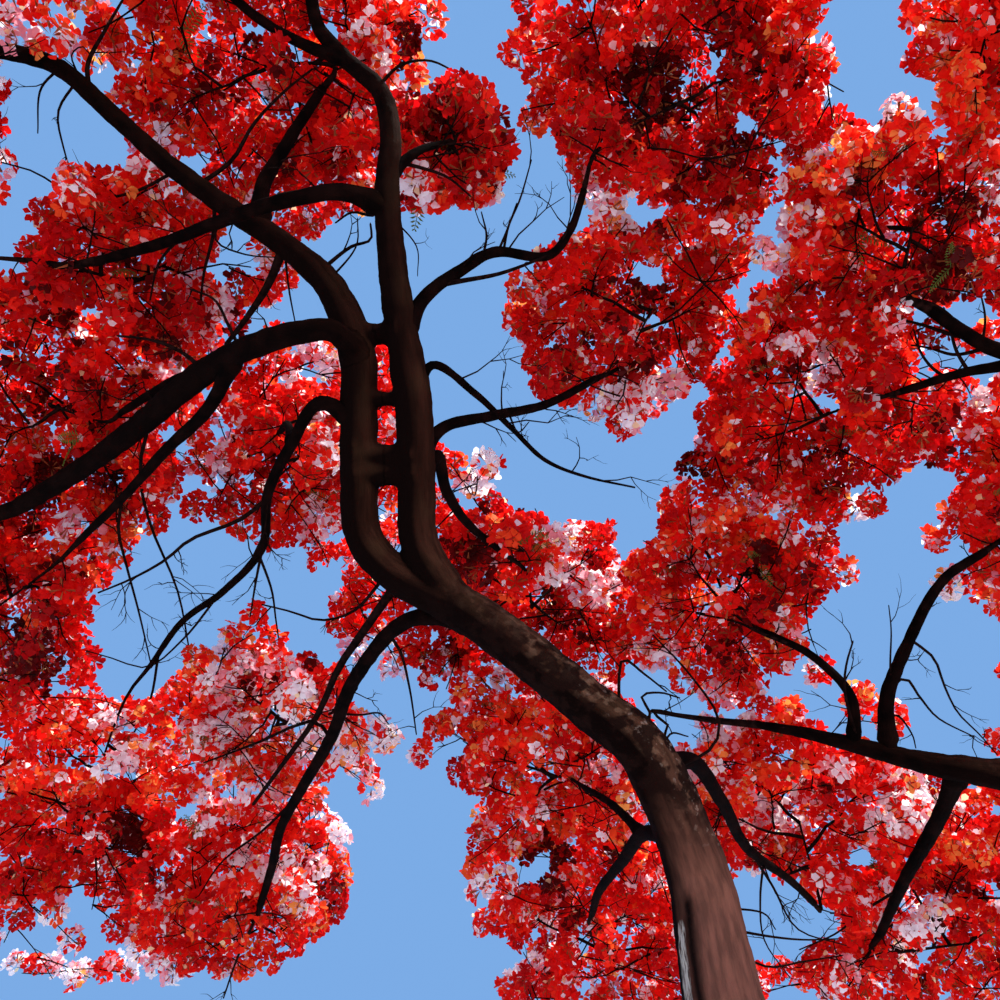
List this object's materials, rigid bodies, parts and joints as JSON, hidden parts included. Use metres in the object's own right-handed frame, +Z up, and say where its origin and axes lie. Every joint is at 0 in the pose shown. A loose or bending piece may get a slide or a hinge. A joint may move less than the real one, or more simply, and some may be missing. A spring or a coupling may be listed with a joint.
{
  "type": "flame tree",
  "caption": "Spreading flame tree in full scarlet blossom, with a winding leaning trunk, forked stems and long dark boughs, rooted in the ground.",
  "frame": {"origin": "centre of the flat cut under the trunk, at ground level", "axes": "+Z straight up from the ground; +X to the right and +Y away from the viewer as the picture looks up into the crown"},
  "size_m": [12.9437, 11.2839, 9.1732],
  "materials": {
    "bark_trunk": "rough, red-brown bark with grey patches",
    "bark_limb": "smooth dark brown bark",
    "blossom": "soft matte scarlet petals"
  },
  "bodies": {
    "root": {"trunk": "bark_trunk", "leader_right": "bark_limb", "stem_right": "bark_limb", "stem_left": "bark_limb", "bough_left": "bark_limb", "bough_left_mid": "bark_limb", "bough_left_under": "bark_limb", "bough_level": "bark_limb", "bough_down": "bark_limb", "bough_inner": "bark_limb", "bough_far_left": "bark_limb", "bough_pale": "bark_limb", "bough_link": "bark_limb", "bough_top": "bark_limb", "bough_top_mid": "bark_limb", "bough_right_high": "bark_limb", "bough_right_mid": "bark_limb", "bough_dead": "bark_limb", "bough_mid": "bark_limb", "bough_far": "bark_limb", "bough_far_mid": "bark_limb", "bough_far_right": "bark_limb", "bough_cross": "bark_limb", "bough_right_out": "bark_limb", "bough_right_in": "bark_limb", "bough_right_low": "bark_limb", "bough_upper_right": "bark_limb", "bough_right_side": "bark_limb", "bough_top_right": "bark_limb", "bough_front_mid": "bark_limb", "bough_right_far": "bark_limb", "blossom_top_left": "blossom", "blossom_top_mid": "blossom", "blossom_front_right": "blossom", "blossom_mid_right": "blossom", "blossom_upper_right": "blossom", "blossom_right_mid": "blossom", "blossom_right_in": "blossom", "blossom_top_right": "blossom", "blossom_right_out": "blossom", "blossom_left_high": "blossom", "blossom_left_low": "blossom", "blossom_left_mid": "blossom", "blossom_left_out": "blossom", "blossom_far_left": "blossom", "blossom_far_left_low": "blossom", "blossom_pale": "blossom", "blossom_mid": "blossom", "blossom_far_mid": "blossom", "blossom_far": "blossom", "blossom_far_right_low": "blossom", "blossom_far_right": "blossom", "blossom_left_tip": "blossom", "blossom_left_front": "blossom", "blossom_front_left": "blossom", "blossom_front": "blossom", "blossom_front_mid": "blossom", "blossom_right": "blossom", "blossom_right_far": "blossom"}
  },
  "joints": []
}
